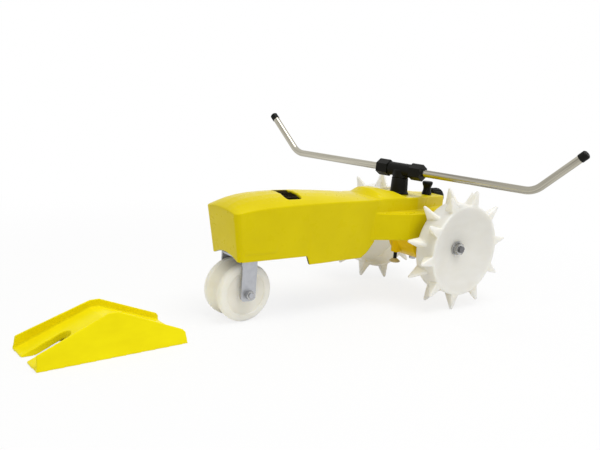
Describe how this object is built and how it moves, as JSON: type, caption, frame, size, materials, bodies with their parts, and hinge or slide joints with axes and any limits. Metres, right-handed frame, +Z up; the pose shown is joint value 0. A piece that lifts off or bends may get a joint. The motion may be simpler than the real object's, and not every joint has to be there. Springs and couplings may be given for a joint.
{
  "type": "travelling lawn sprinkler",
  "caption": "Cast tractor-shaped travelling sprinkler with spiked drive wheels, spinning spray arms and a worm drive, with the loose ramp that shuts its water off.",
  "frame": {"origin": "on the ground, under the middle of the whole set's box in plan", "axes": "+X forward towards the nose and the ramp, +Y to the machine's left, +Z up"},
  "size_m": [0.826, 0.6388, 0.3027],
  "materials": {
    "yellow_casting": "gloss enamel over sand-cast iron",
    "cream_plastic": "moulded, satin",
    "black_plastic": "moulded, satin",
    "black_rubber": "matt",
    "stainless": "polished tube",
    "zinc_plate": "zinc plated",
    "machined_steel": "turned, oiled",
    "brass": "turned",
    "bronze": "sintered, oiled",
    "yellow_plastic": "moulded"
  },
  "bodies": {
    "chassis": {"body_casting": "yellow_casting", "gear_cover": "yellow_casting", "gear_cover_screws": "zinc_plate", "drain_plug": "zinc_plate", "bearing_column": "black_plastic", "column_seal": "black_rubber", "valve_body": "brass", "inlet_tube": "brass", "hose_washer": "black_rubber", "spindle_bush": "bronze", "layshaft_bushes": "bronze", "axle_bushes": "bronze", "shift_rail": "machined_steel", "kingpin": "zinc_plate", "kingpin_washer": "zinc_plate"},
    "rotor": {"rotor_tee": "black_plastic", "spindle": "machined_steel", "worm": "machined_steel", "arm_nuts": "black_plastic"},
    "left_arm": {"left_spray_tube": "stainless", "left_nozzle": "black_plastic"},
    "right_arm": {"right_spray_tube": "stainless", "right_nozzle": "black_plastic"},
    "layshaft_group": {"layshaft": "machined_steel", "worm_wheel": "bronze"},
    "pinion_group": {"drive_pinion": "machined_steel"},
    "axle_group": {"rear_axle": "machined_steel", "axle_gear": "bronze", "axle_spacers": "zinc_plate", "drive_pins": "zinc_plate", "left_rear_wheel": "cream_plastic", "right_rear_wheel": "cream_plastic", "wheel_washers": "zinc_plate", "wheel_nuts": "zinc_plate"},
    "shift_lever": {"shift_knob": "black_plastic", "shift_stem": "machined_steel"},
    "shift_fork_group": {"shift_fork": "machined_steel"},
    "plunger": {"plunger_rod": "black_plastic", "plunger_foot": "cream_plastic", "valve_spool": "black_plastic"},
    "fork_group": {"front_fork": "zinc_plate", "front_axle_bolt": "zinc_plate", "front_axle_nut": "zinc_plate"},
    "front_wheel_group": {"front_wheel": "cream_plastic", "front_wheel_bushes": "bronze"},
    "hose_coupling": {"hose_nut": "black_plastic"},
    "ramp": {"shutoff_ramp": "yellow_plastic"}
  },
  "joints": [
    {"name": "arm_spin", "type": "hinge", "parent": "chassis", "child": "rotor", "pos_m": [-0.25403, 0, 0.23], "axis": [0, 0, 1], "continuous": true},
    {"name": "left_arm_turn", "type": "hinge", "parent": "rotor", "child": "left_arm", "pos_m": [-0.25403, 0, 0.23], "axis": [-0.2079, 0.9781, 0], "range_deg": [-30, 30]},
    {"name": "right_arm_turn", "type": "hinge", "parent": "rotor", "child": "right_arm", "pos_m": [-0.25403, 0, 0.23], "axis": [0.2079, -0.9781, 0], "range_deg": [-30, 30]},
    {"name": "layshaft_spin", "type": "hinge", "parent": "chassis", "child": "layshaft_group", "pos_m": [-0.28563, 0, 0.13965], "axis": [0, 1, 0], "continuous": true},
    {"name": "axle_spin", "type": "hinge", "parent": "chassis", "child": "axle_group", "pos_m": [-0.30803, 0, 0.10501], "axis": [0, 1, 0], "continuous": true},
    {"name": "shift_turn", "type": "hinge", "parent": "chassis", "child": "shift_lever", "pos_m": [-0.31403, 0.012, 0.187], "axis": [0, 0, -1], "range_deg": [0, 47.5]},
    {"name": "fork_slide", "type": "slide", "parent": "chassis", "child": "shift_fork_group", "axis": [0, 1, 0], "range_m": [0, 0.012]},
    {"name": "pinion_slide", "type": "slide", "parent": "layshaft_group", "child": "pinion_group", "axis": [0, 1, 0], "range_m": [0, 0.0121]},
    {"name": "plunger_lift", "type": "slide", "parent": "chassis", "child": "plunger", "axis": [0, 0, 1], "range_m": [0, 0.0125]},
    {"name": "fork_swivel", "type": "hinge", "parent": "chassis", "child": "fork_group", "pos_m": [0.07597, 0, 0.098], "axis": [0, 0, 1], "range_deg": [-30, 30]},
    {"name": "front_wheel_spin", "type": "hinge", "parent": "fork_group", "child": "front_wheel_group", "pos_m": [0.07597, 0, 0.046], "axis": [0, 1, 0], "continuous": true},
    {"name": "hose_nut_spin", "type": "hinge", "parent": "chassis", "child": "hose_coupling", "pos_m": [-0.38103, -0.02, 0.1735], "axis": [1, 0, 0], "continuous": true},
    {"name": "ramp_place", "type": "slide", "parent": "chassis", "child": "ramp", "axis": [1, 0, 0], "range_m": [0, 0.2]}
  ],
  "couplings": [
    {"joint": "layshaft_spin", "follows": "arm_spin", "ratio": -0.029412},
    {"joint": "axle_spin", "follows": "arm_spin", "ratio": 0.0091036},
    {"joint": "shift_turn", "follows": "fork_slide", "rad_per_m": 68.586},
    {"joint": "pinion_slide", "follows": "fork_slide", "ratio": 1}
  ]
}
